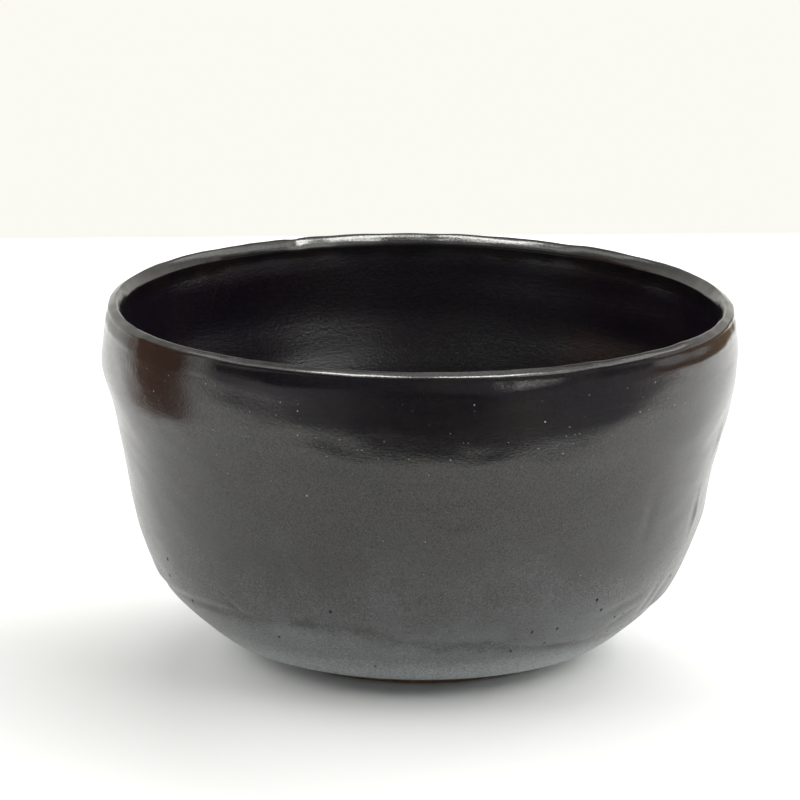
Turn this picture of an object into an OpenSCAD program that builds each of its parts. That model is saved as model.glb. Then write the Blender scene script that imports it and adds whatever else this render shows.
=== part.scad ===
// Matcha bowl: a hand-formed tea bowl of fired clay under a black glaze.
// Millimetres, +Z up. The origin is the middle of the foot's contact face.
// Every piece is a solid of revolution about Z, and neighbours share an outline face to face.

/* [Bowl] */
// Height from the contact face to the top of the lip
bowl_h = 68.8; // [62:0.2:80]
// Widest radius, on the belly just under the lip
belly_r = 61; // [56:0.5:68]
// Drop from the top of the lip to the widest level
belly_drop = 9.6; // [8:0.2:12]
// Drop from the top of the lip to the shoulder, where the wall turns upright
shoulder_drop = 16.4; // [15:0.2:20]
// How far the shoulder lies inside the belly
shoulder_inset = 0.8; // [0.2:0.1:2]
// Radius of the hip, the crease where the trimmed underside begins
hip_r = 45; // [43:0.5:49]
// Height of the hip above the contact face
hip_z = 10.2; // [8:0.2:12]

/* [Lip] */
// Thickness of the rounded lip, glaze included
lip_t = 3; // [2.4:0.1:3.6]
// How far the lip's outer side lies inside the belly
lip_inset = 1.2; // [0.6:0.1:2.4]
// Depth of the band of lip glaze below the top
lip_band = 4.6; // [4:0.2:6]

/* [Wall and floor] */
// Thickness of the wall at the shoulder, glaze included
wall_t = 4.3; // [3.8:0.1:5.6]
// Thickness of the wall above the hip, glaze included
hip_t = 6.4; // [5.4:0.1:7.6]
// Height of the floor around the tea pool
floor_z = 11; // [10:0.2:13]
// Radius of the tea pool pressed in the floor
pool_r = 17; // [13:0.5:19]
// Depth of the tea pool
pool_depth = 1.6; // [0.6:0.1:2]

/* [Foot] */
// Outer radius of the foot ring
foot_r = 28; // [24:0.5:31]
// Width of the foot ring, glaze included
foot_w = 6; // [5:0.5:9]
// Height of the foot's outer wall
foot_h = 2.4; // [2.2:0.1:3.2]
// How much deeper the recess inside the ring is than the outer wall is high
recess_extra = 1.2; // [1:0.1:1.6]
// Height of the small cone that trimming leaves in the middle of the recess
cone_h = 1.3; // [0.4:0.1:2]
// Radius of the small cone
cone_r = 4.5; // [3:0.5:8]
// Rounding of the two edges of the contact face
foot_round = 0.9; // [0.4:0.1:1]
// Bare band of clay between the contact face and the glaze
bare_band = 1.1; // [1.1:0.1:1.5]

/* [Glaze] */
// Thickness of the glaze
glaze_t = 0.7; // [0.4:0.05:0.9]

/* [Hidden] */
$fn = 180;
clay_colour = [0.36, 0.27, 0.2];
foot_colour = [0.42, 0.32, 0.24];
outside_colour = [0.09, 0.085, 0.085];
inside_colour = [0.05, 0.045, 0.06];
lip_colour = [0.3, 0.29, 0.28];
recess_colour = [0.11, 0.1, 0.1];
span_steps = 4;    // pieces in each span of a curve
quarter_steps = 8; // pieces in each quarter turn of an arc
floor_steps = 26;  // pieces in a floor line, from its edge to the axis
floor_run = 8;     // how far the level floor reaches beyond the tea pool

belly_z = bowl_h - belly_drop;
shoulder_z = bowl_h - shoulder_drop;
shoulder_r = belly_r - shoulder_inset;
band_z = bowl_h - lip_band;
lip_c = [belly_r - lip_inset - lip_t / 2, bowl_h - lip_t / 2];
fillet_r = foot_h - bare_band;
recess_depth = foot_h + recess_extra;
recess_r = foot_r - foot_w;
corner_r = recess_extra - glaze_t;

// A smooth curve through the points of p (Catmull-Rom)
function between(a, b, c, d, t) = 0.5 * (2 * b + (c - a) * t
    + (2 * a - 5 * b + 4 * c - d) * t * t + (3 * b - a - 3 * c + d) * t * t * t);
function extended(p) = let (n = len(p))
    concat([2 * p[0] - p[1]], p, [2 * p[n - 1] - p[n - 2]]);
function curve(p) = let (q = extended(p)) [
    for (i = [1 : len(p) - 1], k = [0 : span_steps - 1])
        between(q[i - 1], q[i], q[i + 1], q[i + 2], k / span_steps),
    p[len(p) - 1]];

// An arc about c with radius r, from angle a to angle b
function arc(c, r, a, b) = let (n = max(2, ceil(abs(b - a) / 90 * quarter_steps))) [
    for (k = [0 : n]) c + r * [cos(a + (b - a) * k / n), sin(a + (b - a) * k / n)]];

// Parts of an outline, and an outline moved d to the left of the way it runs.
// It starts upright and ends level, on the axis.
function part(p, from, to) = [for (i = [from : to]) p[i]];
function tail(p) = part(p, 1, len(p) - 1);
function turned(p) = [for (i = [len(p) - 1 : -1 : 0]) p[i]];
function heading(p, i) = i == 0 ? [0, 1] : i == len(p) - 1 ? [-1, 0]
    : (p[i + 1] - p[i - 1]) / norm(p[i + 1] - p[i - 1]);
function beside(p, d) = [for (i = [0 : len(p) - 1])
    let (h = heading(p, i)) p[i] + d * [-h[1], h[0]]];

// A point of the wall between hip and shoulder: x across and y up, both from 0 to 1
function wall_point(x, y) = [hip_r + (shoulder_r - hip_r) * x, hip_z + (shoulder_z - hip_z) * y];
// A point of the underside between foot and hip
function under_point(x, y) = [foot_r + (hip_r - foot_r) * x, foot_h + (hip_z - foot_h) * y];

// The bowl's surface, from the glaze's edge on the foot, up the outside, over the lip
// and down the inside to the middle of the tea pool
fillet = arc([foot_r + fillet_r, foot_h - fillet_r], fillet_r, 180, 90);
outside_points = [
    [foot_r + fillet_r, foot_h],
    under_point(0.28, 0.03),
    under_point(0.5, 0.15),
    under_point(0.68, 0.4),
    under_point(0.82, 0.65),
    [hip_r, hip_z],
    wall_point(0.2, 0.08),
    wall_point(0.39, 0.18),
    wall_point(0.55, 0.31),
    wall_point(0.68, 0.47),
    wall_point(0.78, 0.65),
    wall_point(0.89, 0.84),
    [shoulder_r, shoulder_z],
    [belly_r, belly_z],
    [belly_r - lip_inset / 3, band_z],
    lip_c + [lip_t / 2, 0]];
inside_points = [
    lip_c - [lip_t / 2, 0],
    [belly_r - wall_t + 0.1, band_z],
    [belly_r - wall_t - 0.2, belly_z],
    [shoulder_r - wall_t - 0.2, shoulder_z],
    wall_point(0.89, 0.84) - [wall_t + 0.4, 0],
    wall_point(0.78, 0.65) - [wall_t + 0.9, 0],
    wall_point(0.68, 0.47) - [hip_t - 1, 0],
    wall_point(0.55, 0.31) - [hip_t - 0.2, 0],
    [hip_r - hip_t + 3.6, floor_z + 6.3],
    [hip_r - hip_t - 1.1, floor_z + 2.5],
    [hip_r - hip_t - 6.8, floor_z + 0.55],
    [pool_r + floor_run, floor_z]];
floor_line = [for (k = [0 : floor_steps]) let (r = (pool_r + floor_run) * (1 - k / floor_steps))
    [r, floor_z - pool_depth / (1 + pow(r / pool_r, 8))]];
surface = concat(fillet, tail(curve(outside_points)), tail(arc(lip_c, lip_t / 2, 0, 180)),
    tail(curve(inside_points)), tail(floor_line));
clay = beside(surface, glaze_t);

// Places along the surface where one piece ends and the next begins
fillet_end = len(fillet) - 1;
lip_from = fillet_end + span_steps * (len(outside_points) - 2);
lip_to = lip_from + 2 * span_steps + 2 * quarter_steps;
middle = len(surface) - 1;
seat = clay[fillet_end];

// The recess inside the foot, from the glaze's edge up its wall and in to the axis
recess = concat(
    [[recess_r, bare_band]],
    arc([recess_r - corner_r, recess_depth - corner_r], corner_r, 0, 90),
    [for (k = [0 : floor_steps]) let (r = (recess_r - 2 * corner_r) * (1 - k / floor_steps))
        [r, recess_depth - cone_h * exp(-pow(2 * r / cone_r, 2))]]);
recess_clay = beside(recess, -glaze_t);

module revolved(outline) rotate_extrude() polygon(outline);
module coat(outline, under) revolved(concat(outline, turned(under)));

module clay_body() color(clay_colour)
    revolved(concat(
        part(clay, fillet_end, middle),
        turned(part(recess_clay, 1, len(recess_clay) - 1)),
        [[recess_r + glaze_t, seat[1]]]));

module foot_ring() color(foot_colour)
    revolved(concat(
        arc([recess_r + glaze_t + foot_round, foot_round], foot_round, 180, 270),
        arc([foot_r - glaze_t - foot_round, foot_round], foot_round, 270, 360),
        part(clay, 0, fillet_end),
        [[recess_r + glaze_t, seat[1]]]));

module outer_glaze() color(outside_colour)
    coat(part(surface, 0, lip_from), part(clay, 0, lip_from));

module lip_glaze() color(lip_colour)
    coat(part(surface, lip_from, lip_to), part(clay, lip_from, lip_to));

module inner_glaze() color(inside_colour)
    coat(part(surface, lip_to, middle), part(clay, lip_to, middle));

module recess_glaze() color(recess_colour)
    coat(recess, recess_clay);

clay_body();
foot_ring();
outer_glaze();
inner_glaze();
lip_glaze();
recess_glaze();
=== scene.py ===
import math
import random

import bmesh
import bpy
import numpy as np
from mathutils import Matrix, Quaternion, Vector
from mathutils.kdtree import KDTree


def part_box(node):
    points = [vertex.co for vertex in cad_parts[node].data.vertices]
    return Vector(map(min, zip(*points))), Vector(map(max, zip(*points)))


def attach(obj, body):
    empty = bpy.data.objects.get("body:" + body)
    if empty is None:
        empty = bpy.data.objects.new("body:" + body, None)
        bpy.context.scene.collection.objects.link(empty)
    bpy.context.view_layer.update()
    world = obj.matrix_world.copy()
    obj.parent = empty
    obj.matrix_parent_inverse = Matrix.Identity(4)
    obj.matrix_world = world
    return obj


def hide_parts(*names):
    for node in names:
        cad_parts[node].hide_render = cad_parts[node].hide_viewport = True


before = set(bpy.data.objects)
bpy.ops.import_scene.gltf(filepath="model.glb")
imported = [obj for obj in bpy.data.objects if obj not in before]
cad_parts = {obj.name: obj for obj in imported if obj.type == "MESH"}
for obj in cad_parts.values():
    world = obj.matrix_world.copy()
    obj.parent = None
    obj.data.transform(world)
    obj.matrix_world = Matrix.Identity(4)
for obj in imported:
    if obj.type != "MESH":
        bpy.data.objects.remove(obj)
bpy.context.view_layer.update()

# The frame and the stage are in metres. The bowl is worked out in millimetres, and scaled by MM where
# its meshes are made.
MM = 0.001
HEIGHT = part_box("lip_glaze")[1].z / MM
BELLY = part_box("outer_glaze")[1].x / MM
FOOT_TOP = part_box("foot_ring")[1].z / MM
GLAZE = (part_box("lip_glaze")[1].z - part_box("clay_body")[1].z) / MM

# Mesh density
COLUMNS = 576        # columns round the glazed surfaces
ROW = 0.72           # spacing of their rows
LIP_ROW = 0.3        # spacing of rows on the lip, which curves tightly
BACK_ROW = 2.4       # spacing of rows on hidden faces, which also have half the columns
SEAM_ROW = 0.08      # extra row beside a joint between two coats, so that shading runs across it
FEWEST = 18          # columns of the innermost rings
AXIS = 0.02          # a ring with a smaller radius is one point on the axis
SHARP = math.radians(50)     # a fold sharper than this shows as an edge


# ---------------------------------------------------------------- reading the CAD outlines

def seam_outline(node):
    """A revolved node's outline as (radius, height) points in order, in millimetres.

    A revolved surface has its seam on the +X side, so the seam's vertices are the outline's points.
    """
    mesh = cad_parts[node].data
    tiny = 1e-6
    places = {}
    for vertex in mesh.vertices:
        if abs(vertex.co.y) < tiny and vertex.co.x > -tiny:
            places[vertex.index] = (round(vertex.co.x / MM, 3), round(vertex.co.z / MM, 3))
    links = {place: set() for place in places.values()}
    for edge in mesh.edges:
        a, b = (places.get(index) for index in edge.vertices)
        if a and b and a != b:
            links[a].add(b)
            links[b].add(a)
    loose_ends = sorted(place for place in links if len(links[place]) == 1)
    walk = [loose_ends[0] if loose_ends else min(links)]
    while True:
        onward = sorted(place for place in links[walk[-1]] if place not in walk)
        if not onward:
            return walk
        walk.append(onward[0])


def lies_on(point, outline, gap=0.03):
    """Whether a point lies on an outline, within a gap in millimetres."""
    a = np.array(outline, float)
    step = np.roll(a, -1, axis=0) - a
    square = np.maximum((step**2).sum(axis=1), 1e-12)
    t = np.clip(((np.array(point) - a) * step).sum(axis=1) / square, 0, 1)
    return np.linalg.norm(a + step * t[:, None] - point, axis=1).min() < gap


def face_run(node):
    """The run of a coat's outline that shows: the points that lie on no clay outline."""
    loop = seam_outline(node)
    covered = [lies_on(p, clay_outline) or lies_on(p, foot_outline) for p in loop]
    if covered[0] != covered[-1] or not covered[0]:
        turn = next(i for i in range(len(loop)) if covered[i] and not covered[(i + 1) % len(loop)])
        loop = loop[turn + 1:] + loop[:turn + 1]
        covered = covered[turn + 1:] + covered[:turn + 1]
    return [p for p, hidden in zip(loop, covered) if not hidden]


def joined(*runs):
    """Runs of an outline put end to end, each turned so that it starts where the last one ended."""
    line = list(runs[0])
    for run in runs[1:]:
        if math.dist(run[-1], line[-1]) < math.dist(run[0], line[-1]):
            run = run[::-1]
        line += run[1:]
    return line


class Line:
    """A smooth line through outline points, read by the distance along it."""

    def __init__(self, points):
        self.points = np.array(points, float)
        steps = np.linalg.norm(np.diff(self.points, axis=0), axis=1)
        self.along = np.concatenate([[0], np.cumsum(steps)])
        self.length = self.along[-1]
        self.slopes = np.gradient(self.points, self.along, axis=0)

    def at(self, s):
        s = np.clip(np.atleast_1d(s), 0, self.length)
        i = np.clip(np.searchsorted(self.along, s) - 1, 0, len(self.points) - 2)
        step = (self.along[i + 1] - self.along[i])[:, None]
        t = (s[:, None] - self.along[i][:, None]) / step
        a, b = self.points[i], self.points[i + 1]
        m, n = self.slopes[i] * step, self.slopes[i + 1] * step
        return ((2 * t**3 - 3 * t**2 + 1) * a + (t**3 - 2 * t**2 + t) * m
                + (3 * t**2 - 2 * t**3) * b + (t**3 - t**2) * n)

    def outward(self, s):
        """Unit normals to the right of the way the line runs, which is away from the clay."""
        nudge = 0.05
        way = self.at(np.asarray(s) + nudge) - self.at(np.asarray(s) - nudge)
        way /= np.linalg.norm(way, axis=1)[:, None]
        return np.stack([way[:, 1], -way[:, 0]], axis=1)

    def where(self, point):
        """Distance along the line of its outline point that lies nearest to a place."""
        return self.along[np.argmin(np.linalg.norm(self.points - point, axis=1))]


clay_outline = seam_outline("clay_body")
foot_outline = seam_outline("foot_ring")
outer_run = face_run("outer_glaze")
if outer_run[0][1] > outer_run[-1][1]:
    outer_run.reverse()
lip_run = face_run("lip_glaze")
inner_run = face_run("inner_glaze")
surface_points = joined(outer_run, lip_run, inner_run)
surface_points.append((0.0, surface_points[-1][1]))
surface = Line(surface_points)
LIP_FROM = surface.where(outer_run[-1])
LIP_TO = surface.where(min((lip_run[0], lip_run[-1]), key=lambda p: p[0]))
LIP_TOP = surface.where(max(surface_points, key=lambda p: p[1]))


# ---------------------------------------------------------------- the hand-formed shape

def smooth(low, high, x):
    """0 at low and 1 at high, with a smooth rise between. Low may be the greater of the two."""
    t = np.clip((np.asarray(x, float) - low) / (high - low), 0, 1)
    return t * t * (3 - 2 * t)


def hump(x, middle, half_width):
    """A bell-shaped bump: 1 at its middle, fading to 0 on both sides."""
    return np.exp(-((np.asarray(x, float) - middle) / half_width) ** 2)


def turn_from(azimuth, middle):
    """Signed angle from middle to azimuth, in degrees, across the join at 180."""
    return (np.asarray(azimuth) - middle + 180) % 360 - 180


def swell(points, size, seed, waves=28):
    """A smooth random field of about unit height, whose bumps are about size across."""
    draw = np.random.default_rng(seed)
    ways = draw.normal(size=(waves, 3))
    ways /= np.linalg.norm(ways, axis=1)[:, None]
    turns = 2 * math.pi / (size * draw.uniform(1.5, 3.0, waves))
    phases = draw.uniform(0, 2 * math.pi, waves)
    total = np.zeros(len(points))
    for way, turn, phase in zip(ways, turns, phases):
        total += np.cos(points @ (way * turn) + phase)
    return total * math.sqrt(2 / waves)


def azimuth_of(points):
    """Degrees round the bowl: 0 at the front (-Y), 90 on the right (+X)."""
    return np.degrees(np.arctan2(points[:, 0], -points[:, 1]))


LEAN = 0.34          # how far the mouth lies to the right of the foot
SHRINK = 0.42        # how far the wall stays inside the plain outline all round
OVAL = 0.08          # how much further the wall leaves the true circle, three times round
PALM = 0.05          # depth of the broad soft hollows that the palms leave
RIM_DROP = 0.38      # how far the rim lies below the plain outline all round
RIM_WAVE = 0.2       # how far it rises and dips, twice round
RIM_UNEVEN = 0.05    # how far it wanders besides
RIM_DIP = 0.5        # its further dip at the front left, with azimuth and half-width in degrees
RIM_DIP_AT = -62
RIM_DIP_HALF = 22
LIP_WIDE = 0.4       # how far the lip stands out, so that the wall is upright to its edge
LIP_BELOW = 1.8      # how far below the top it does so most, and over what half-height
LIP_HALF = 3.5
SHOULDER = 0.76      # where the wall turns in, as a share of the height
SHOULDER_WAVE = 0.35         # how far that turn wanders up and down, and over what half-height
SHOULDER_HALF = 9


def formed(points):
    """Where points of the true revolved bowl lie on the hand-formed one. The foot stays level."""
    azimuth = azimuth_of(points)
    around = np.radians(azimuth)
    z = points[:, 2]
    radius = np.hypot(points[:, 0], points[:, 1])
    out = points[:, :2] / np.maximum(radius, 1e-6)[:, None]
    up = smooth(FOOT_TOP, HEIGHT * 0.5, z)      # 0 at the foot
    wall = smooth(BELLY * 0.4, BELLY * 0.75, radius)        # and 0 in the middle of the floor
    push = -SHRINK + OVAL * np.cos(3 * around - 0.7)
    push += PALM * np.tanh(swell(points * [1, 1, 0.7], 15, seed=5))
    push += LIP_WIDE * hump(z, HEIGHT - LIP_BELOW, LIP_HALF)
    wander = swell(points * [1, 1, 0.1], 14, seed=8)
    lift = SHOULDER_WAVE * hump(z, HEIGHT * SHOULDER, SHOULDER_HALF) * wander * wall
    wave = 0.6 * np.cos(2 * around) + 0.8 * np.sin(2 * around)      # highest at 27 and 207 degrees
    dip = RIM_DIP * hump(turn_from(azimuth, RIM_DIP_AT), 0, RIM_DIP_HALF)
    drop = RIM_DROP + RIM_WAVE * (1 - wave) / 2 + dip
    drop += RIM_UNEVEN * (1 + np.tanh(swell(points * [1, 1, 0], 8, seed=11)))
    moved = points.copy()
    moved[:, :2] += out * (push * up * wall)[:, None]
    moved[:, 0] += LEAN * smooth(HEIGHT * 0.1, HEIGHT * 0.85, z)
    moved[:, 2] += lift - smooth(HEIGHT * 0.5, HEIGHT, z) * drop
    return moved


# Marks on the outside: azimuth, height, half-width across, half-height, depth (+ out), slant in degrees
MARKS = [
    (-79, 50, 9, 5, -0.24, 0),           # dent of the left hand
    (-72, 37, 7, 8, -0.15, 10),
    (-92, 55.5, 12, 4, 0.7, 0),          # the wall stands out over both dents
    (92, 52, 12, 4, 0.2, 0),
    (90, 42, 16, 8, 0.35, 0),
    (15, 63.9, 10, 2.1, 0.38, 0),        # swellings under the lip
    (-24, 63.6, 11, 2.0, 0.3, 0),
    (62, 64.5, 9, 1.8, 0.25, 0),
    (88, 36, 10, 5, -0.25, 0),           # dent of the right hand
    (88, 47, 8, 3, 0.3, 0),              # and the swelling over it
    (84, 51, 3, 1.8, -0.2, 0),           # small notch
    (78, 45, 0.9, 3.2, 0.2, -25),        # raised streak
    (72.0, 31.5, 0.9, 3.2, 0.2, 0),      # run of glaze, with a hollow beside it
    (70.0, 31.8, 1.3, 3.6, -0.1, 0),
    (50, 35, 1.6, 5, -0.12, -6),         # shallow groove
    (88, 28, 8, 4, 0.4, 0),              # fold over the lower right
    (67.4, 15.8, 1.9, 3.4, -0.32, 0),    # spatula cuts at the lower right
    (61.9, 16.6, 1.5, 3.0, -0.24, 0),
    (49, 17.2, 5.5, 0.9, -0.24, 12),
    (53, 14.2, 3.5, 0.8, -0.2, 24),
    (82, 13.5, 7, 4, 0.45, 0),           # swellings low on both sides
    (-80, 14, 7, 4, 0.3, 0),
    (-42, 17.6, 1.4, 0.5, -0.3, -30),    # nicks of the tool at the lower front
    (-13, 16.6, 2.0, 0.7, -0.3, 0),
    (1, 13.7, 2.6, 0.8, -0.3, 0),
    (13, 52.0, 3.4, 1.4, 0.12, 8),       # step on the shoulder
    (150, 42, 9, 7, -0.2, 0),            # dents and cuts at the back
    (-150, 36, 8, 8, -0.2, 0),
    (120, 24, 7, 2.6, -0.25, 20),
    (-115, 21, 7, 2.2, -0.25, -15),
]


def marks_on(points):
    """How far the marks stand out of the plain outside, or sink into it."""
    azimuth = azimuth_of(points)
    radius = np.hypot(points[:, 0], points[:, 1])
    total = np.zeros(len(points))
    for middle, height, wide, tall, depth, slant in MARKS:
        across = np.radians(turn_from(azimuth, middle)) * radius
        upward = points[:, 2] - height
        c, s = math.cos(math.radians(slant)), math.sin(math.radians(slant))
        a = (across * c + upward * s) / wide
        b = (-across * s + upward * c) / tall
        total += depth * np.exp(-(a * a + b * b))
    return total


# The trimming crease low on the outside
HIP = 13.9           # its mean height
HIP_TILT = 2.6       # how much lower it runs on the right, and higher on the left
HIP_WAVE = 1.5       # how far it rises and dips, three times round, and that wave's turn in radians
HIP_PHASE = 1.05
STEP_AT = -6.0       # azimuth where the trimming tool was set down again, a step lower
STEP_HALF = 1.1      # half the step's height
STEP_WIDE = 2.5      # its half-width, and how far from it the two lines meet again, in degrees
STEP_FADE = 18.0
CREASE_DEPTH = 0.4   # the crease's depth and half-height
CREASE_HALF = 0.7
RIDGE = 0.14         # height of the soft ridge over it, how far over, and its half-height
RIDGE_UP = 2.0
RIDGE_HALF = 1.3
FACET = 0.03         # height of the spatula's facets, and of the finer ones on them
FINE_FACET = 0.014
FACETS_SET_IN = (6, 16)      # heights between which they set in
RING = 0.012         # height of the turning rings round the shoulder
RING_MORE = 0.03     # and how much higher they are at the front left
RING_MORE_AT = -35
RING_MORE_HALF = 32


def hip_height(azimuth):
    """Height of the trimming crease, which wanders as the tool did."""
    around = np.radians(azimuth)
    turn = turn_from(azimuth, STEP_AT)
    step = np.tanh(turn / STEP_WIDE) * hump(turn, 0, STEP_FADE)
    return HIP - HIP_TILT * np.sin(around) + HIP_WAVE * np.cos(3 * around + HIP_PHASE) - STEP_HALF * step


def outside_detail(points):
    """Height of the tool marks on the outside, above the plain outline."""
    z = points[:, 2]
    hip = hip_height(azimuth_of(points))
    worked = 0.6 + 0.4 * np.tanh(swell(points * [1, 1, 0.3], 12, seed=22))
    groove = -CREASE_DEPTH * hump(z, hip, CREASE_HALF)
    crease = worked * (groove + RIDGE * hump(z, hip + RIDGE_UP, RIDGE_HALF))
    on_wall = smooth(*FACETS_SET_IN, z) * (1 - smooth(HEIGHT - 7, HEIGHT - 3, z))
    facets = FACET * swell(points * [1, 1, 1.7], 9, seed=23)
    facets += FINE_FACET * swell(points * [1, 1, 2.5], 4.5, seed=24)
    left = hump(turn_from(azimuth_of(points), RING_MORE_AT), 0, RING_MORE_HALF)
    rings = swell(points * [0.12, 0.12, 1], 2.6, seed=25) * hump(z, HEIGHT * 0.82, 9)
    return crease + on_wall * facets + (RING + RING_MORE * left) * rings


# Flats pressed on the lip's outer and inner edge: how far past its top, half-length and depth
OUTER_FLAT = (-0.84, 0.72, 0.18)
INNER_FLAT = (1.35, 1.5, 0.5)
NICK = 0.28          # depth of the nick in the lip, with its azimuth and half-width in degrees
NICK_AT = -154
NICK_HALF = 1.6
LIP_FADE = 3.0       # how far the lip's detail and the coats' detail run into each other
MARKS_FADE = 2.0     # over how long a stretch the outside's marks fade out, up to the lip's top


def flattened(along, middle, half_length, depth):
    """Depth of a flat pressed across a rounded edge, by the distance along the outline."""
    return -depth * max(0.0, 1 - ((along - middle) / half_length) ** 2)


def lip_detail(points, s):
    """The lip is pressed flat on both its edges, unevenly, and one nick crosses it at the back left."""
    azimuth = azimuth_of(points)
    along = s - LIP_TOP
    pressed = 0.5 + 0.5 * np.tanh(1.5 * swell(points * [1, 1, 0], 13, seed=33))
    outer = flattened(along, *OUTER_FLAT) * (0.6 + 0.4 * pressed)
    inner = flattened(along, *INNER_FLAT) * (0.8 + 0.2 * pressed)
    uneven = 0.03 * swell(points, 5, seed=31) + 0.02 * swell(points * [1, 1, 0.5], 2.5, seed=32)
    nick = -NICK * hump(turn_from(azimuth, NICK_AT), 0, NICK_HALF)
    return uneven + outer + inner + nick * smooth(HEIGHT - 2.5, HEIGHT - 0.5, points[:, 2])


def inside_detail(points):
    """Height of the finger rings and hollows inside."""
    rings = 0.04 * swell(points * [0.1, 0.1, 1.0], 3.2, seed=41)
    return 0.06 * swell(points, 9, seed=42) + rings


def surface_detail(points, s):
    """Height of all tool marks on the glazed surface, at distance s along the outline."""
    past_outer = smooth(LIP_FROM - LIP_FADE, LIP_FROM + LIP_FADE, s)
    past_lip = smooth(LIP_TO - LIP_FADE, LIP_TO + LIP_FADE, s)
    total = smooth(LIP_TOP, LIP_TOP - MARKS_FADE, s) * marks_on(points)
    total += (1 - past_outer) * outside_detail(points)
    total += (past_outer - past_lip) * lip_detail(points, s)
    return total + past_lip * inside_detail(points)


# ---------------------------------------------------------------- building closed meshes

def revolved(rz, columns):
    """Rings of points, one for each (radius, height) pair."""
    angle = 2 * math.pi * np.arange(columns) / columns
    ring = np.stack([np.cos(angle), np.sin(angle)], axis=1)
    return [np.column_stack([ring * r, np.full(columns, z)]) for r, z in rz]


def columns_at(radius, most):
    """How many columns a ring needs: halved towards the middle, and one point on the axis."""
    if radius < AXIS:
        return 1
    count = most
    while count > FEWEST and count % 2 == 0 and radius < 0.5 * BELLY * count / most:
        count //= 2
    return count


def surface_rings(stops, columns, depth=0.0, raised=True):
    """Rings on the bowl's surface, or under it by depth, at distances stops along the outline."""
    rings = []
    places, normals = surface.at(stops), surface.outward(stops)
    for s, place, normal in zip(stops, places, normals):
        flat = place - normal * depth
        count = columns_at(place[0], columns)
        if count == 1:
            rings.append(np.array([[0.0, 0.0, flat[1]]]))
            continue
        ring = revolved([flat], count)[0]
        if raised:
            top = revolved([place], count)[0]
            height = surface_detail(top, s)
            around = ring[:, :2] / np.linalg.norm(ring[:, :2], axis=1)[:, None]
            ring[:, :2] += around * (normal[0] * height)[:, None]
            ring[:, 2] += normal[1] * height
        rings.append(ring)
    return rings


def bridge(faces, a, b, first_a, first_b):
    """Faces between a ring of a points and the next ring of b points, one of them half the other."""
    if a == b == 1:
        return
    if a == b:
        for j in range(a):
            k = (j + 1) % a
            faces.append((first_a + j, first_a + k, first_b + k, first_b + j))
    elif b == 1:
        for j in range(a):
            faces.append((first_a + j, first_a + (j + 1) % a, first_b))
    elif a == 1:
        for j in range(b):
            faces.append((first_a, first_b + (j + 1) % b, first_b + j))
    elif a == 2 * b:
        for j in range(b):
            k = (j + 1) % b
            start, middle, end = first_a + 2 * j, first_a + 2 * j + 1, first_a + (2 * j + 2) % a
            faces.append((start, middle, first_b + j))
            faces.append((middle, first_b + k, first_b + j))
            faces.append((middle, end, first_b + k))
    elif b == 2 * a:
        for j in range(a):
            k = (j + 1) % a
            start, middle, end = first_b + 2 * j, first_b + 2 * j + 1, first_b + (2 * j + 2) % b
            faces.append((first_a + j, middle, start))
            faces.append((first_a + j, first_a + k, middle))
            faces.append((first_a + k, end, middle))
    else:
        raise ValueError(f"rings of {a} and {b} points can't be joined")


def solid(name, rings):
    """A closed mesh object from rings of points that run round its cross-section."""
    rings = [formed(ring) for ring in rings]
    firsts = np.cumsum([0] + [len(ring) for ring in rings])
    faces = []
    for i in range(len(rings)):
        j = (i + 1) % len(rings)
        bridge(faces, len(rings[i]), len(rings[j]), int(firsts[i]), int(firsts[j]))
    mesh = bpy.data.meshes.new(name)
    mesh.from_pydata((np.vstack(rings) * MM).tolist(), [], faces)
    mesh.update()
    mesh.shade_smooth()
    mesh.set_sharp_from_angle(angle=SHARP)
    piece = bpy.data.objects.new(name, mesh)
    bpy.context.scene.collection.objects.link(piece)
    return piece


def plain_rings(points, columns):
    """Rings straight from outline points, without tool marks."""
    rings = []
    for radius, z in points:
        count = columns_at(radius, columns)
        rings.append(np.array([[0.0, 0.0, z]]) if count == 1 else revolved([(radius, z)], count)[0])
    return rings


def stops_between(start, end, row):
    """Distances along the outline for rows, with one more row just inside each end."""
    count = max(2, round((end - start) / row))
    inner = np.linspace(start, end, count + 1)[1:-1]
    return np.concatenate([[start, start + SEAM_ROW], inner, [end - SEAM_ROW, end]])


def back_stops(start, end):
    """Distances along the outline for the hidden rows, where glaze and clay meet."""
    count = max(2, round((end - start) / BACK_ROW))
    return np.linspace(start, end, count + 1)


# The foot's fillet is the stretch of the outline up to where the clay's seat begins
SEAT = surface.where((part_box("foot_ring")[1].x / MM, FOOT_TOP - GLAZE))
FILLET_STOPS = surface.along[surface.along <= SEAT + 1e-6]
OUTER_BACK = np.concatenate([FILLET_STOPS, back_stops(SEAT, LIP_FROM)[1:]])
LIP_BACK = back_stops(LIP_FROM, LIP_TO)
INNER_BACK = back_stops(LIP_TO, surface.length)


def coat(name, start, end, backs, row=ROW):
    """A glaze coat: its shining face from start to end along the outline, and its back on the clay."""
    face = surface_rings(stops_between(start, end, row), COLUMNS)
    back = surface_rings(backs, COLUMNS // 2, depth=GLAZE, raised=False)
    return solid(name, face + back[::-1])


# The trimming spiral in the recess
TRIM_PITCH = 2.6     # its spacing
TRIM_DEPTH = 0.07
TRIM_UNEVEN = 0.05   # how far the recess is uneven besides
TRIM_IN = (2, 5)     # radii between which the spiral fades in and out
TRIM_OUT = (17, 20)


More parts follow.
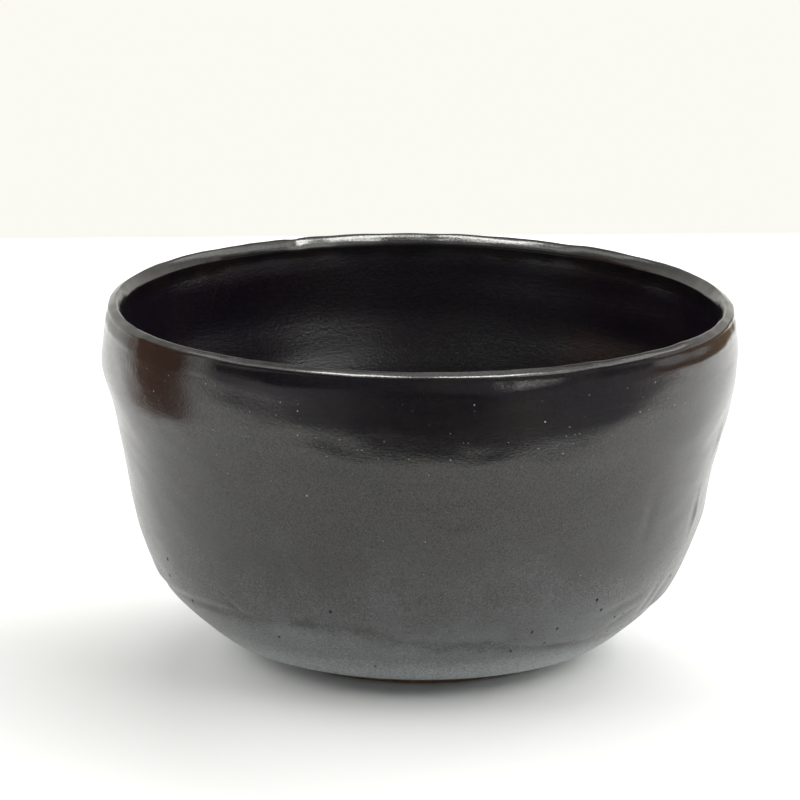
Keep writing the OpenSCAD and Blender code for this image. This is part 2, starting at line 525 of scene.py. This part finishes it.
def recess_coat(name):
    """The coat inside the foot ring, with the faint spiral that the trimming tool left."""
    run = face_run("recess_glaze")
    if run[0][0] > run[-1][0]:
        run.reverse()
    line = Line(run)
    stops = stops_between(0.0, line.length, ROW)
    face = []
    for s, place, normal in zip(stops, line.at(stops), line.outward(stops)):
        ring = plain_rings([place], COLUMNS // 2)[0]
        if len(ring) > 1:
            azimuth = np.radians(azimuth_of(ring))
            spiral = np.cos(2 * math.pi * place[0] / TRIM_PITCH + azimuth)
            level = smooth(*TRIM_IN, place[0]) * (1 - smooth(*TRIM_OUT, place[0]))
            ring[:, 2] -= level * (TRIM_DEPTH * spiral + TRIM_UNEVEN * swell(ring, 6, seed=51))
        face.append(ring)
    back = [p for p in seam_outline("recess_glaze")
            if lies_on(p, clay_outline) or lies_on(p, foot_outline)]
    return solid(name, face + plain_rings(sorted_along(back, line.points[-1]), COLUMNS // 2))


RECESS_IN = 5.0      # the clay's recess lies at least this far inside the foot's outer edge
RECESS_UP = 1.6      # and at most this far above the foot's top


def clay_wall(name):
    """The clay under the coats: the same hidden rows as theirs, closed by the foot's seat and recess."""
    outside = np.concatenate([OUTER_BACK[OUTER_BACK >= SEAT - 1e-6], LIP_BACK[1:], INNER_BACK[1:]])
    rings = surface_rings(outside, COLUMNS // 2, depth=GLAZE, raised=False)
    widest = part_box("foot_ring")[1].x / MM - RECESS_IN
    under = [p for p in clay_outline if p[0] < widest and p[1] < FOOT_TOP + RECESS_UP]
    under = sorted_along(under, (0.0, min(p[1] for p in under if p[0] < 0.1)))
    return solid(name, rings + plain_rings(under, COLUMNS // 2))


def foot(name):
    """The foot ring, bare where it meets the table."""
    loop = foot_outline
    area = sum(a[0] * b[1] - b[0] * a[1] for a, b in zip(loop, loop[1:] + loop[:1]))
    return solid(name, plain_rings(loop if area > 0 else loop[::-1], COLUMNS // 2))


def sorted_along(points, start):
    """Outline points put in order by walking from each to its nearest neighbour."""
    left = list(points)
    here = min(left, key=lambda p: math.dist(p, start))
    walk = []
    while True:
        left.remove(here)
        walk.append(here)
        if not left:
            return walk
        here = min(left, key=lambda p: math.dist(p, here))


glaze_outside = coat("glaze_outside", 0.0, LIP_FROM, OUTER_BACK)
glaze_lip = coat("glaze_lip", LIP_FROM, LIP_TO, LIP_BACK, LIP_ROW)
glaze_inside = coat("glaze_inside", LIP_TO, surface.length, INNER_BACK)
glaze_recess = recess_coat("glaze_recess")
clay = clay_wall("clay_wall")
foot_piece = foot("foot")


# ---------------------------------------------------------------- pits

# Pinholes at the front, by azimuth and height
PITS = [(-33, 13), (-18, 20.7), (31, 11.7), (26, 15.8), (32, 15.2), (23, 10.7), (52, 11.3), (49.6, 14.1),
        (42.8, 18.2), (40.4, 20.8), (63.7, 11.2), (69.8, 18.6), (-10, 7.4), (52.6, 15), (-60, 15)]
FAR_PITS = 26        # the other sides get this many at random, between these azimuths and heights
FAR_TURNS = (70, 300)
FAR_HEIGHTS = (8, 24)
PIT_EDGE = 0.03      # width of a pit's flat edge and of its sloping side, and its depth
PIT_SIDE = 0.05
PIT_DEPTH = 0.32


def point_on_wall(azimuth, z):
    """A point of the hand-formed outside, and its outward normal, at an azimuth and a height."""
    outside = surface.along < LIP_FROM
    nearest = np.argmin(np.abs(surface.points[outside][:, 1] - z))
    s = surface.along[outside][nearest]
    place, normal = surface.at(s)[0], surface.outward(s)[0]
    turn = math.radians(azimuth)
    way = np.array([math.sin(turn), -math.cos(turn), 0.0])
    flat = np.array([[*(way[:2] * place[0]), place[1]]])
    out = np.array([way[0] * normal[0], way[1] * normal[0], normal[1]])
    return formed(flat + out * surface_detail(flat, s)[:, None])[0], out


def sink_pits(piece, spots):
    """Press small holes into the faces nearest to the spots."""
    bm = bmesh.new()
    bm.from_mesh(piece.data)
    bm.faces.ensure_lookup_table()
    tree = KDTree(len(bm.faces))
    for face in bm.faces:
        tree.insert(face.calc_center_median(), face.index)
    tree.balance()
    chosen = {}
    for azimuth, z in spots:
        place, out = point_on_wall(azimuth, z)
        near = (bm.faces[index] for spot, index, gap in tree.find_n(Vector(place) * MM, 6))
        face = next(face for face in near if face.normal.dot(Vector(out)) > 0.5)
        chosen[face.index] = face
    for thickness, depth in ((PIT_EDGE, 0.0), (PIT_SIDE, -PIT_DEPTH)):
        bmesh.ops.inset_individual(bm, faces=list(chosen.values()), thickness=thickness * MM,
                                   depth=depth * MM)
    bm.to_mesh(piece.data)
    bm.free()
    piece.data.set_sharp_from_angle(angle=SHARP)


# ---------------------------------------------------------------- quartz grains

GRAINS = 420
NEAR_RIM = 0.72      # share of the grains that lie near the rim, with their mean height and its spread
RIM_GRAINS = (57, 4.5)
LOW_GRAINS = (14, 52)        # heights between which the others lie
GRAIN_SIZE = (0.05, 0.1)     # usual radius
GRAIN_MORE = 0.1     # and how much larger a few of them are


def grains(name, count):
    """White quartz grains that stand a little out of the glaze, most of them near the rim."""
    draw = random.Random(7)
    bm = bmesh.new()
    for _ in range(count):
        azimuth = draw.uniform(-180, 180)
        near_rim = draw.random() < NEAR_RIM
        z = draw.gauss(*RIM_GRAINS) if near_rim else draw.uniform(*LOW_GRAINS)
        size = draw.uniform(*GRAIN_SIZE) + GRAIN_MORE * draw.random() ** 8
        place, out = point_on_wall(azimuth, min(z, HEIGHT - 3))
        turn = Vector(out).to_track_quat("Z", "Y").to_matrix().to_4x4()
        spot = Matrix.Translation(Vector(place - out * size * 0.25) * MM)
        shape = Matrix.Diagonal((size * draw.uniform(0.8, 1.3), size, size * 0.7, 1 / MM)) * MM
        made = bmesh.ops.create_icosphere(bm, subdivisions=1, radius=1.0, matrix=spot @ turn @ shape)
        for vertex in made["verts"]:
            vertex.co += Vector([draw.uniform(-1, 1) for _ in range(3)]) * size * 0.07 * MM
    mesh = bpy.data.meshes.new(name)
    bm.to_mesh(mesh)
    bm.free()
    mesh.shade_smooth()
    piece = bpy.data.objects.new(name, mesh)
    bpy.context.scene.collection.objects.link(piece)
    return piece


quartz = grains("quartz_grains", GRAINS)

pit_draw = random.Random(12)
far_pits = [(pit_draw.uniform(*FAR_TURNS), pit_draw.uniform(*FAR_HEIGHTS)) for _ in range(FAR_PITS)]
sink_pits(glaze_outside, PITS + far_pits)


# ---------------------------------------------------------------- materials

class Nodes:
    """Short calls for making a node tree."""

    def __init__(self, tree):
        self.tree = tree
        tree.nodes.clear()

    def put(self, slot, value):
        """Set a socket to a number or a colour, or link another node's output to it."""
        if isinstance(value, (int, float)):
            slot.default_value = value
        elif isinstance(value, tuple):
            slot.default_value = (*value, 1)
        else:
            self.tree.links.new(value, slot)

    def add(self, kind, settings=None, **links):
        """A node with its settings, and with links into the inputs named, _ standing for a space."""
        node = self.tree.nodes.new(kind)
        for key, value in (settings or {}).items():
            node.inputs[key].default_value = value
        for key, source in links.items():
            self.tree.links.new(source, node.inputs[key.replace("_", " ")])
        return node

    def show(self, shader, kind="ShaderNodeOutputMaterial"):
        """Put a shader on the surface."""
        self.add(kind, Surface=shader.outputs[0])

    def parts(self, vector):
        """X, Y and Z of a vector."""
        return self.add("ShaderNodeSeparateXYZ", Vector=vector).outputs

    def math(self, kind, a, b=None):
        node = self.tree.nodes.new("ShaderNodeMath")
        node.operation = kind
        for slot, value in zip(node.inputs, (a, b)):
            if value is not None:
                self.put(slot, value)
        return node.outputs[0]

    def bell(self, x):
        """exp(-x * x), which is hump() as nodes."""
        return self.math("EXPONENT", self.math("MULTIPLY", self.math("MULTIPLY", x, x), -1.0))

    def noise(self, vector, scale, detail, roughness):
        settings = {"Scale": scale, "Detail": detail, "Roughness": roughness}
        return self.add("ShaderNodeTexNoise", settings, Vector=vector).outputs["Fac"]

    def ramp(self, value, stops):
        """A colour ramp through (place, colour) stops."""
        node = self.add("ShaderNodeValToRGB", Fac=value)
        elements = node.color_ramp.elements
        while len(elements) < len(stops):
            elements.new(0.5)
        for element, (place, colour) in zip(elements, stops):
            element.position = place
            element.color = (*colour, 1)
        return node.outputs["Color"]

    def spread(self, value, low, high, to_low, to_high):
        """A value's range from low to high, spread from to_low to to_high."""
        limits = {"From Min": low, "From Max": high, "To Min": to_low, "To Max": to_high}
        return self.add("ShaderNodeMapRange", limits, Value=value).outputs["Result"]

    def varied(self, noise, low, high):
        """A noise, which stays between about 0.3 and 0.7, spread from low to high."""
        return self.spread(noise, 0.3, 0.7, low, high)

    def scaled(self, vector, factor):
        node = self.tree.nodes.new("ShaderNodeVectorMath")
        node.operation = "SCALE"
        self.put(node.inputs[0], vector)
        self.put(node.inputs["Scale"], factor)
        return node.outputs["Vector"]

    def mix(self, factor, a, b):
        node = self.tree.nodes.new("ShaderNodeMix")
        node.data_type = "RGBA"
        for key, value in (("Factor", factor), ("A", a), ("B", b)):
            self.put(node.inputs[key], value)
        return node.outputs["Result"]


def new_material(name):
    material = bpy.data.materials.new(name)
    material.use_nodes = True
    return material, Nodes(material.node_tree)


DRAWN_OUT = 0.09     # scale of the brush lines round the bowl, against their scale up the wall


def bowl_coordinates(nodes):
    """Object coordinates in millimetres: as they are, and drawn out round the bowl for brush lines."""
    place = nodes.scaled(nodes.add("ShaderNodeTexCoord").outputs["Object"], 1 / MM)
    x, y, z = nodes.parts(place)
    squares = nodes.math("ADD", nodes.math("MULTIPLY", x, x), nodes.math("MULTIPLY", y, y))
    radius = nodes.math("SQRT", squares)
    along = nodes.add("ShaderNodeCombineXYZ", X=nodes.math("MULTIPLY", x, DRAWN_OUT),
                      Y=nodes.math("MULTIPLY", y, DRAWN_OUT), Z=nodes.math("ADD", z, radius))
    return place, along.outputs["Vector"], z


def hip_level(nodes, place):
    """hip_height() as nodes."""
    x, y, z = nodes.parts(place)
    around = nodes.math("ARCTAN2", x, nodes.math("MULTIPLY", y, -1.0))
    tilt = nodes.math("MULTIPLY", nodes.math("SINE", around), -HIP_TILT)
    wave = nodes.math("COSINE", nodes.math("ADD", nodes.math("MULTIPLY", around, 3.0), HIP_PHASE))
    turn = nodes.math("SUBTRACT", nodes.math("DEGREES", around), STEP_AT)
    faded = nodes.bell(nodes.math("DIVIDE", turn, STEP_FADE))
    step = nodes.math("MULTIPLY", nodes.math("TANH", nodes.math("DIVIDE", turn, STEP_WIDE)), faded)
    level = nodes.math("ADD", nodes.math("ADD", tilt, HIP), nodes.math("MULTIPLY", wave, HIP_WAVE))
    return nodes.math("SUBTRACT", level, nodes.math("MULTIPLY", step, STEP_HALF))


GLAZE_IOR = 1.78     # a lead and iron glaze bends light more than window glass does
THIN_FROM = 44.0     # height where the outer glaze starts to thin and turns satin grey, partly a painted sheen, and where it is thinnest
THIN_FULL = 10.0
THIN_WAVER = 5.0     # how far those heights waver
THIN_ROUGH = 0.14    # how much rougher the thin glaze is
PALE_FROM = 9.5      # height where painted light makes it paler still, just above the foot, and where it is palest
PALE_FULL = 2.0
PALE_WAVER = 1.0
PAINTED_LIGHT_GAIN = 3.6      # how much lighter the colour is painted there, lifting the shade round the foot
ABOVE_CREASE = 0.72  # and how much of it is left above the trimming crease
UNDER_FROM = 1.2     # the change lies between these two heights over the crease
UNDER_FULL = -3.0
CREASE_THIN_SHARE = 0.15        # how much of the thin glaze's grey shows in the trimming crease, which stays darker
CREASE_DARK_WIDE = 1.3      # half-width of that darker line, and how far its edges waver
CREASE_DARK_WAVER = 0.7


def hip_crease(nodes, place, above_hip):
    """1 in the trimming crease, in patches, falling to 0 beside it."""
    ragged = nodes.varied(nodes.noise(place, 0.2, 3, 0.6), -CREASE_DARK_WAVER, CREASE_DARK_WAVER)
    line = nodes.bell(nodes.math("DIVIDE", nodes.math("ADD", above_hip, ragged), CREASE_DARK_WIDE))
    patchy = nodes.spread(nodes.noise(place, 0.11, 2, 0.5), 0.4, 0.6, 0.35, 1.0)
    return nodes.math("MULTIPLY", line, patchy)


def thin_glaze_and_painted_light(nodes, place, z, clouds, mottle, low):
    """How far the glaze has run thin towards the foot, from 0 to 1, and its colour there: a satin grey
    that is partly the thin glaze's own and partly a painted sheen, paler under the trimming crease, and
    paler still just above the foot, where painted light lifts the shade.
    """
    above_hip = nodes.math("SUBTRACT", z, hip_level(nodes, place))
    level = nodes.math("ADD", z, nodes.varied(clouds, -THIN_WAVER, THIN_WAVER))
    thin = nodes.spread(level, THIN_FROM, THIN_FULL, 0.0, 1.0)
    # Along the trimming crease, less of the thin glaze's grey shows, so the crease stays darker in
    # patches.
    crease_darker = nodes.spread(hip_crease(nodes, place, above_hip), 0.0, 1.0, 1.0, CREASE_THIN_SHARE)
    thin = nodes.math("MULTIPLY", nodes.math("MULTIPLY", thin, thin), crease_darker)
    under = nodes.spread(above_hip, UNDER_FROM, UNDER_FULL, 0.0, 1.0)
    # The grey below the crease is partly the thin glaze's own colour and partly a painted sheen.
    satin_and_painted_light = nodes.mix(under, tuple(ABOVE_CREASE * c for c in low), low)
    # Painted light: the colour turns paler just above the foot, lifting the shade there.
    level = nodes.math("ADD", z, nodes.varied(mottle, -PALE_WAVER, PALE_WAVER))
    painted_foot_light = nodes.spread(level, PALE_FROM, PALE_FULL, 0.0, 1.0)
    return thin, nodes.mix(painted_foot_light, satin_and_painted_light, tuple(PAINTED_LIGHT_GAIN * c for c in low))


def glaze(name, dark, brown, rough, brush, fine, low=None):
    """Black glaze: near-black glass with iron-brown clouds, brush lines and a fine uneven skin.

    rough is its roughness, and brush and fine are how high the lines and the skin stand, in millimetres.
    Where low is given, the glaze turns thin and satin grey towards the foot, in that colour; that grey
    is partly a painted sheen, and painted light makes it paler just above the foot.
    """
    material, nodes = new_material(name)
    place, along, z = bowl_coordinates(nodes)
    clouds = nodes.noise(place, 0.09, 4, 0.6)
    mottle = nodes.noise(place, 1.1, 3, 0.6)
    lines = nodes.noise(along, 1.3, 3, 0.65)
    skin = nodes.noise(place, 1.6, 3, 0.6)
    grain = nodes.noise(place, 3.0, 3, 0.7)
    specks = nodes.noise(place, 4.5, 2, 0.5)
    tint = nodes.mix(nodes.spread(clouds, 0.42, 0.66, 0.0, 1.0), dark, brown)
    roughness = nodes.math("ADD", nodes.varied(mottle, rough - 0.03, rough + 0.04),
                           nodes.varied(lines, -0.02, 0.02))
    if low:
        # Towards the foot: the thin glaze's satin grey, partly a painted sheen, with painted light just
        # above the foot.
        thin, satin_and_painted_light = thin_glaze_and_painted_light(nodes, place, z, clouds, mottle, low)
        tint = nodes.mix(thin, tint, satin_and_painted_light)
        roughness = nodes.math("ADD", roughness, nodes.math("MULTIPLY", thin, THIN_ROUGH))
    tint = nodes.scaled(tint, nodes.spread(grain, 0.28, 0.72, 0.1, 1.9))
    relief = nodes.math("ADD", nodes.math("MULTIPLY", lines, brush), nodes.math("MULTIPLY", skin, fine))
    relief = nodes.math("ADD", relief, nodes.math("MULTIPLY", grain, fine * 0.7))
    bump = nodes.add("ShaderNodeBump", {"Strength": 1.0, "Distance": MM}, Height=relief)
    gloss = nodes.mix(nodes.varied(specks, 0.45, 1.15), (0.0, 0.0, 0.0), (1.0, 1.0, 0.98))
    nodes.show(nodes.add("ShaderNodeBsdfPrincipled", {"IOR": GLAZE_IOR}, Specular_Tint=gloss,
                         Base_Color=tint, Roughness=roughness, Normal=bump.outputs["Normal"]))
    return material


def bare_clay(name, light, dark):
    """Fired clay, sandy and matt."""
    material, nodes = new_material(name)
    place = bowl_coordinates(nodes)[0]
    sand = nodes.noise(place, 3.2, 4, 0.65)
    clouds = nodes.noise(place, 0.16, 3, 0.5)
    tint = nodes.mix(nodes.spread(sand, 0.35, 0.65, 0.0, 1.0), dark, light)
    tint = nodes.mix(nodes.spread(clouds, 0.45, 0.7, 0.0, 0.6), tint, tuple(0.35 * c for c in dark))
    roughness = nodes.varied(sand, 0.78, 0.92)
    relief = nodes.math("MULTIPLY", sand, 0.12)
    bump = nodes.add("ShaderNodeBump", {"Strength": 1.0, "Distance": MM}, Height=relief)
    nodes.show(nodes.add("ShaderNodeBsdfPrincipled", {"IOR": 1.5}, Base_Color=tint,
                         Roughness=roughness, Normal=bump.outputs["Normal"]))
    return material


def quartz_white(name):
    """Quartz grains: a mottled off-white, most of it veiled by the glaze."""
    material, nodes = new_material(name)
    mottle = nodes.noise(bowl_coordinates(nodes)[0], 5.0, 3, 0.6)
    tint = nodes.mix(nodes.spread(mottle, 0.35, 0.65, 0.0, 1.0), (0.16, 0.15, 0.14), (0.5, 0.48, 0.45))
    nodes.show(nodes.add("ShaderNodeBsdfPrincipled", {"IOR": 1.54}, Base_Color=tint,
                         Roughness=nodes.varied(mottle, 0.25, 0.5)))
    return material


BLACK, BROWN = (0.0046, 0.0038, 0.0054), (0.0085, 0.0062, 0.0058)
# The satin grey given as low is partly the thin glaze's colour and partly a painted sheen.
outer_black = glaze("outer_black", BLACK, BROWN, 0.2, 0.012, 0.03, low=(0.11, 0.119, 0.12))
inner_black = glaze("inner_black", (0.0046, 0.0032, 0.0062), (0.007, 0.0044, 0.0062), 0.18, 0.02, 0.05)
lip_black = glaze("lip_black", BLACK, BROWN, 0.12, 0.012, 0.02)
recess_black = glaze("recess_black", (0.004, 0.0036, 0.004), (0.009, 0.0065, 0.0045), 0.26, 0.02, 0.04)
clay_brown = bare_clay("clay_brown", (0.2, 0.13, 0.085), (0.11, 0.07, 0.045))
foot_brown = bare_clay("foot_brown", (0.24, 0.16, 0.105), (0.13, 0.085, 0.055))

PIECES = [
    (glaze_outside, outer_black, "outer_glaze", "outer_glaze"),
    (glaze_lip, lip_black, "lip_glaze", "lip_glaze"),
    (glaze_inside, inner_black, "inner_glaze", "inner_glaze"),
    (glaze_recess, recess_black, "recess_glaze", "recess_glaze"),
    (clay, clay_brown, "clay_body", "clay"),
    (foot_piece, foot_brown, "foot_ring", "foot_clay"),
]
for piece, material, node, slot in PIECES:
    piece.data.materials.append(material)
    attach(piece, "root")
    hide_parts(node)
    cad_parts[node].material_slots[0].material = material
quartz.data.materials.append(quartz_white("quartz_white"))
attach(quartz, "root")


# ---------------------------------------------------------------- floor, light and camera

def stage_sheet(name, points, faces, material):
    """A sheet of the stage: it isn't part of the bowl."""
    mesh = bpy.data.meshes.new(name)
    mesh.from_pydata(points, [], faces)
    mesh.materials.append(material)
    sheet = bpy.data.objects.new(name, mesh)
    bpy.context.scene.collection.objects.link(sheet)
    return sheet


def paper():
    """Plain matt white."""
    material = bpy.data.materials.new("paper_white")
    material.use_nodes = True
    shader = material.node_tree.nodes["Principled BSDF"]
    shader.inputs["Base Color"].default_value = (0.86, 0.86, 0.85, 1)
    shader.inputs["Roughness"].default_value = 1.0
    shader.inputs["Specular IOR Level"].default_value = 0.0
    return material


FLOOR_BACK = 0.3645  # how far the floor reaches behind the bowl
FLOOR_TURN = 0.086   # slope of its back edge
FLOOR_REACH = 3.0    # how far it reaches to the front and sides
slope = FLOOR_TURN * FLOOR_REACH
floor_corners = [(-FLOOR_REACH, -FLOOR_REACH, 0), (FLOOR_REACH, -FLOOR_REACH, 0),
                 (FLOOR_REACH, FLOOR_BACK + slope, 0), (-FLOOR_REACH, FLOOR_BACK - slope, 0)]
stage_sheet("floor", floor_corners, [(0, 1, 2, 3)], paper())

# The dark side of the room, for the glaze to reflect: brightness by azimuth in degrees, low and high up
ROOM_LIGHT = [(-92, 0.36), (-72, 0.38), (-54, 0.5), (-32, 0.28), (-14, 0.09), (8, 0.05), (20, 0.09),
              (36, 0.24), (52, 0.29), (66, 0.26), (84, 0.36), (100, 0.5)]
ROOM_UPPER = [(-92, 0.06), (-66, 0.02), (-44, 0.06), (-20, 0.12), (-3, 0.12), (24, 0.23), (36, 0.21),
              (50, 0.17), (66, 0.12), (84, 0.08)]
ROOM_BLEND = (0.2, 0.42)     # heights between which the one gives way to the other
ROOM_PALE = (0.8, 0.8, 0.78)     # colour of the wall above furniture height
PALE_BASE = (0.7, 1.2)       # heights between which it turns pale, away from the middle
MIDDLE_RAISE = 0.5           # how much higher that is in the middle
MIDDLE_AT = 0.14             # the middle's azimuth and half-width, in radians
MIDDLE_WIDE = 0.42
# Where the pale table ends and the dark side of the room begins, as (X, Y) places from left to right
ROOM_EDGE = [(-0.75, -0.100), (-0.25, -0.118), (-0.10, -0.138), (0.02, -0.132), (0.082, -0.126),
             (0.125, -0.084), (0.18, -0.066), (0.24, -0.024), (0.55, 0.025)]
ROOM_FAR = 1.6               # how far away its wall stands, and how tall it is
ROOM_TALL = 1.7
BOX_SIDE = -0.16             # X of the wooden box's near side, the Y it runs between, and its height
BOX_ENDS = (0.064, -0.035)
BOX_TALL = 0.14
RAIL_REACH = 0.5             # the wooden rail's distance, azimuths and height
RAIL_TURNS = (86, 152)
RAIL_TALL = 0.105
LIFT = 0.0008                # what stands on the floor starts just clear of it


def room_ramp(nodes, level, ring):
    """Brightness by azimuth, from a ring of (degrees, brightness) pairs."""
    return nodes.ramp(level, [(turn / 360 + 0.5, (v, v * 0.97, v)) for turn, v in ring])


def room_light(name):
    """Light from the dark side of the room: dimmest in the middle, and paler above furniture height."""
    material, nodes = new_material(name)
    x, y, z = nodes.parts(nodes.add("ShaderNodeTexCoord").outputs["Object"])
    azimuth = nodes.math("ARCTAN2", x, nodes.math("MULTIPLY", y, -1.0))
    level = nodes.spread(azimuth, -math.pi, math.pi, 0.0, 1.0)
    colour = nodes.mix(nodes.spread(z, *ROOM_BLEND, 0.0, 1.0),
                       room_ramp(nodes, level, ROOM_LIGHT), room_ramp(nodes, level, ROOM_UPPER))
    off = nodes.math("DIVIDE", nodes.math("SUBTRACT", azimuth, MIDDLE_AT), MIDDLE_WIDE)
    height = nodes.math("SUBTRACT", z, nodes.math("MULTIPLY", nodes.bell(off), MIDDLE_RAISE))
    colour = nodes.mix(nodes.spread(height, *PALE_BASE, 0.0, 1.0), colour, ROOM_PALE)
    nodes.show(nodes.add("ShaderNodeEmission", Color=colour))
    return material


def plain_glow(name, colour):
    """Light of one colour."""
    material, nodes = new_material(name)
    nodes.show(nodes.add("ShaderNodeEmission", {"Color": (*colour, 1)}))
    return material


def reflected(name, rings, material, lights=False):
    """A sheet through rings of points that the camera doesn't see, and that may light the table."""
    count = len(rings[0])
    points = [point for ring in rings for point in ring]
    faces = [(r * count + i, r * count + i + 1, (r + 1) * count + i + 1, (r + 1) * count + i)
             for r in range(len(rings) - 1) for i in range(count - 1)]
    sheet = stage_sheet(name, points, faces, material)
    sheet.visible_camera = False
    sheet.visible_diffuse = lights
    sheet.visible_shadow = lights
    sheet.visible_transmission = False


def arc(radius, start, end, z, count=12):
    """Points on a level arc round the bowl, between two azimuths in degrees."""
    turns = [math.radians(start + (end - start) * i / count) for i in range(count + 1)]
    return [(radius * math.sin(t), -radius * math.cos(t), z) for t in turns]


edge_turns = [math.atan2(x, -y) for x, y in ROOM_EDGE]
far_low = [(ROOM_FAR * math.sin(t), -ROOM_FAR * math.cos(t), LIFT) for t in edge_turns]
far_high = [(x, y, ROOM_TALL) for x, y, z in far_low]
room_dark = room_light("room_dark")
reflected("dark_floor", [[(x, y, LIFT) for x, y in ROOM_EDGE], far_low], room_dark)
reflected("dark_wall", [far_low, far_high], room_dark, lights=True)
wood_left = plain_glow("wood_left", (0.27, 0.145, 0.09))
wood_right = plain_glow("wood_right", (0.36, 0.24, 0.15))
reflected("wooden_box", [[(BOX_SIDE, y, z) for y in BOX_ENDS] for z in (LIFT, BOX_TALL)], wood_left)
reflected("wooden_rail", [arc(RAIL_REACH, *RAIL_TURNS, z) for z in (LIFT, RAIL_TALL)], wood_right)


def soft_light(name, place, aim, size, watts):
    """A rectangular lamp that lights the bowl and the floor, and that no reflection shows."""
    data = bpy.data.lights.new(name, "AREA")
    data.shape = "RECTANGLE"
    data.size, data.size_y = size
    data.energy = watts
    lamp = bpy.data.objects.new(name, data)
    lamp.location = place
    lamp.rotation_euler = (Vector(aim) - Vector(place)).to_track_quat("-Z", "Y").to_euler()
    bpy.context.scene.collection.objects.link(lamp)
    lamp.visible_glossy = False


# What the glaze reflects from above the table: windows all round, lamps, tubes and the ceiling
WINDOW = plain_glow("window_glow", (2.2, 2.2, 2.14))
LAMP = plain_glow("lamp_glow", (14.0, 14.0, 13.6))
CEILING = plain_glow("ceiling_glow", (1.25, 1.25, 1.22))
UPRIGHT_SHEETS = [    # name, radius, azimuths it runs between, heights it runs between, glow
    ("window", 1.1, (34, 60), (0.46, 1.4), WINDOW),
    ("window_side", 1.1, (60, 140), (0.78, 1.5), WINDOW),
    ("far_window", 1.1, (-78, -26), (1.0, 1.4), WINDOW),
    ("far_side", 1.1, (-140, -78), (1.05, 1.5), WINDOW),
    ("lamp_right", 0.8, (26, 58), (1.1, 1.28), LAMP),
    ("lamp_left", 0.8, (-56, -26), (1.1, 1.28), LAMP),
]
for name, radius, turns, heights, glow in UPRIGHT_SHEETS:
    reflected(name, [arc(radius, *turns, level) for level in heights], glow)
LEVEL_SHEETS = [      # name, X it runs between, Y it runs between, height, glow
    ("tube_right", (0.07, 0.6), (-0.5, -0.08), 1.2, LAMP),
    ("tube_left", (-0.6, -0.09), (-0.5, -0.08), 1.2, LAMP),
    ("ceiling", (-1.5, 1.5), (-0.95, 0.5), 1.5, CEILING),
]
for name, xs, ys, level, glow in LEVEL_SHEETS:
    reflected(name, [[(x, y, level) for x in xs] for y in ys], glow)

SOFT_LIGHTS = [       # name, place, what it points at, size, watts
    ("key", (0.25, 0.85, 0.95), (0, 0, 0.03), (1.2, 0.6), 11.0),
    ("fill", (0.1, -1.5, 0.12), (0.02, 0, 0.02), (1.4, 0.2), 5.0),
    ("side_right", (1.1, 0.0, 0.85), (0, 0, 0.05), (2.2, 1.0), 23.0),
    ("side_left", (-1.15, 0.25, 0.8), (0, 0, 0.05), (2.0, 1.0), 15.0),
]
for light in SOFT_LIGHTS:
    soft_light(*light)

world = bpy.data.worlds.new("studio")
bpy.context.scene.world = world
world.use_nodes = True
sky = Nodes(world.node_tree)
height = sky.parts(sky.add("ShaderNodeTexCoord").outputs["Generated"])[2]
WALL_WHITE, CEILING_GREY = (0.965, 0.955, 0.89), (0.42, 0.42, 0.4)
paling = sky.ramp(height, [(0.2, WALL_WHITE), (0.7, CEILING_GREY)])
sky.show(sky.add("ShaderNodeBackground", Color=paling), "ShaderNodeOutputWorld")

ELEVATION = 14.69    # the camera's height angle, and its distance from the bowl's middle
DISTANCE = 1.2
MIDDLE_UP = 0.485    # how high that middle lies, as a share of the height
FOCAL = 281.2        # focal length of its lens
ROLL = 0.011         # its tilt to the side, in radians
AIM_UP = 0.01465     # it points this far above the bowl's middle, and left of it
AIM_LEFT = 0.00358
lens = bpy.data.cameras.new("camera")
lens.sensor_width = 36
lens.lens = FOCAL
lens.clip_end = 20
camera = bpy.data.objects.new("camera", lens)
bpy.context.scene.collection.objects.link(camera)
bpy.context.scene.camera = camera
tilt = math.radians(ELEVATION)
away = Vector((0, -math.cos(tilt), math.sin(tilt)))
upright = Vector((0, math.sin(tilt), math.cos(tilt)))
middle = Vector((0, 0, HEIGHT * MIDDLE_UP * MM))
camera.location = middle + away * DISTANCE
aim = middle + upright * AIM_UP - Vector((AIM_LEFT, 0, 0))
camera.rotation_mode = "QUATERNION"
level_view = (aim - camera.location).to_track_quat("-Z", "Y")
camera.rotation_quaternion = level_view @ Quaternion((0, 0, 1), ROLL)

bpy.context.scene.view_settings.view_transform = "Standard"

bpy.context.view_layer.update()
